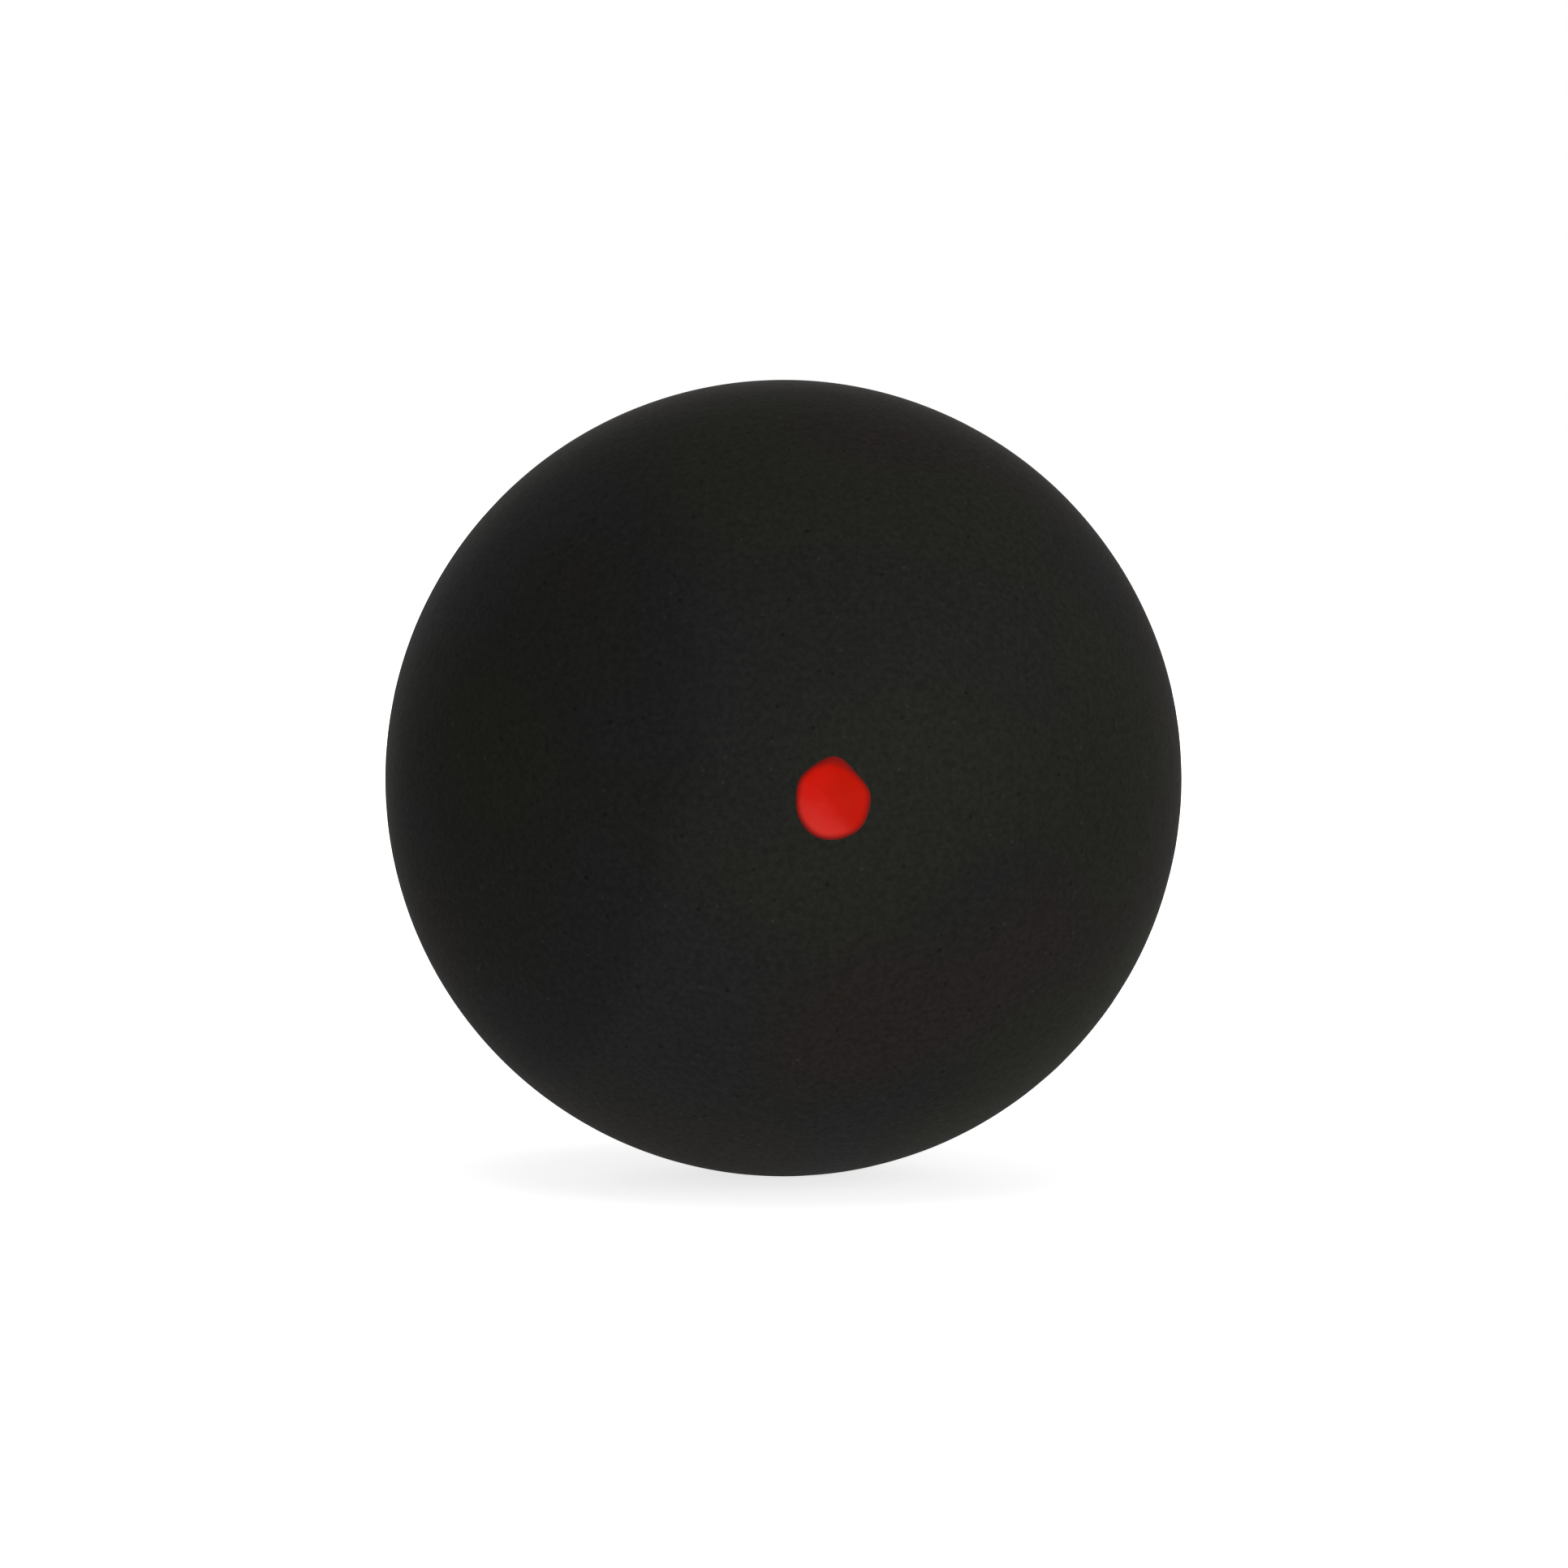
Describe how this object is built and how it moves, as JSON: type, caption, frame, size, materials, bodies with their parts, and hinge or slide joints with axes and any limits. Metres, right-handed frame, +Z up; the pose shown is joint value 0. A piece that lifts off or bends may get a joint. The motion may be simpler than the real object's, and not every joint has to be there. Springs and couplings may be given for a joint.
{
  "type": "squash ball",
  "caption": "Hollow black rubber ball with a matte buffed surface, a bonded seam round its middle and a small red paint dot.",
  "frame": {"origin": "centre of the ball", "axes": "+Z up as the ball lies in the picture, the red dot on the -Y side, the seam in the XZ plane"},
  "size_m": [0.04, 0.0401, 0.04],
  "materials": {
    "buffed_rubber": "matte, buffed with fine grit",
    "cured_rubber_solution": "satin, as it dried",
    "dot_paint": "satin red paint"
  },
  "bodies": {
    "root": {"front_half_shell": "buffed_rubber", "rear_half_shell": "buffed_rubber", "seam_bond": "cured_rubber_solution", "speed_dot": "dot_paint"}
  },
  "joints": []
}
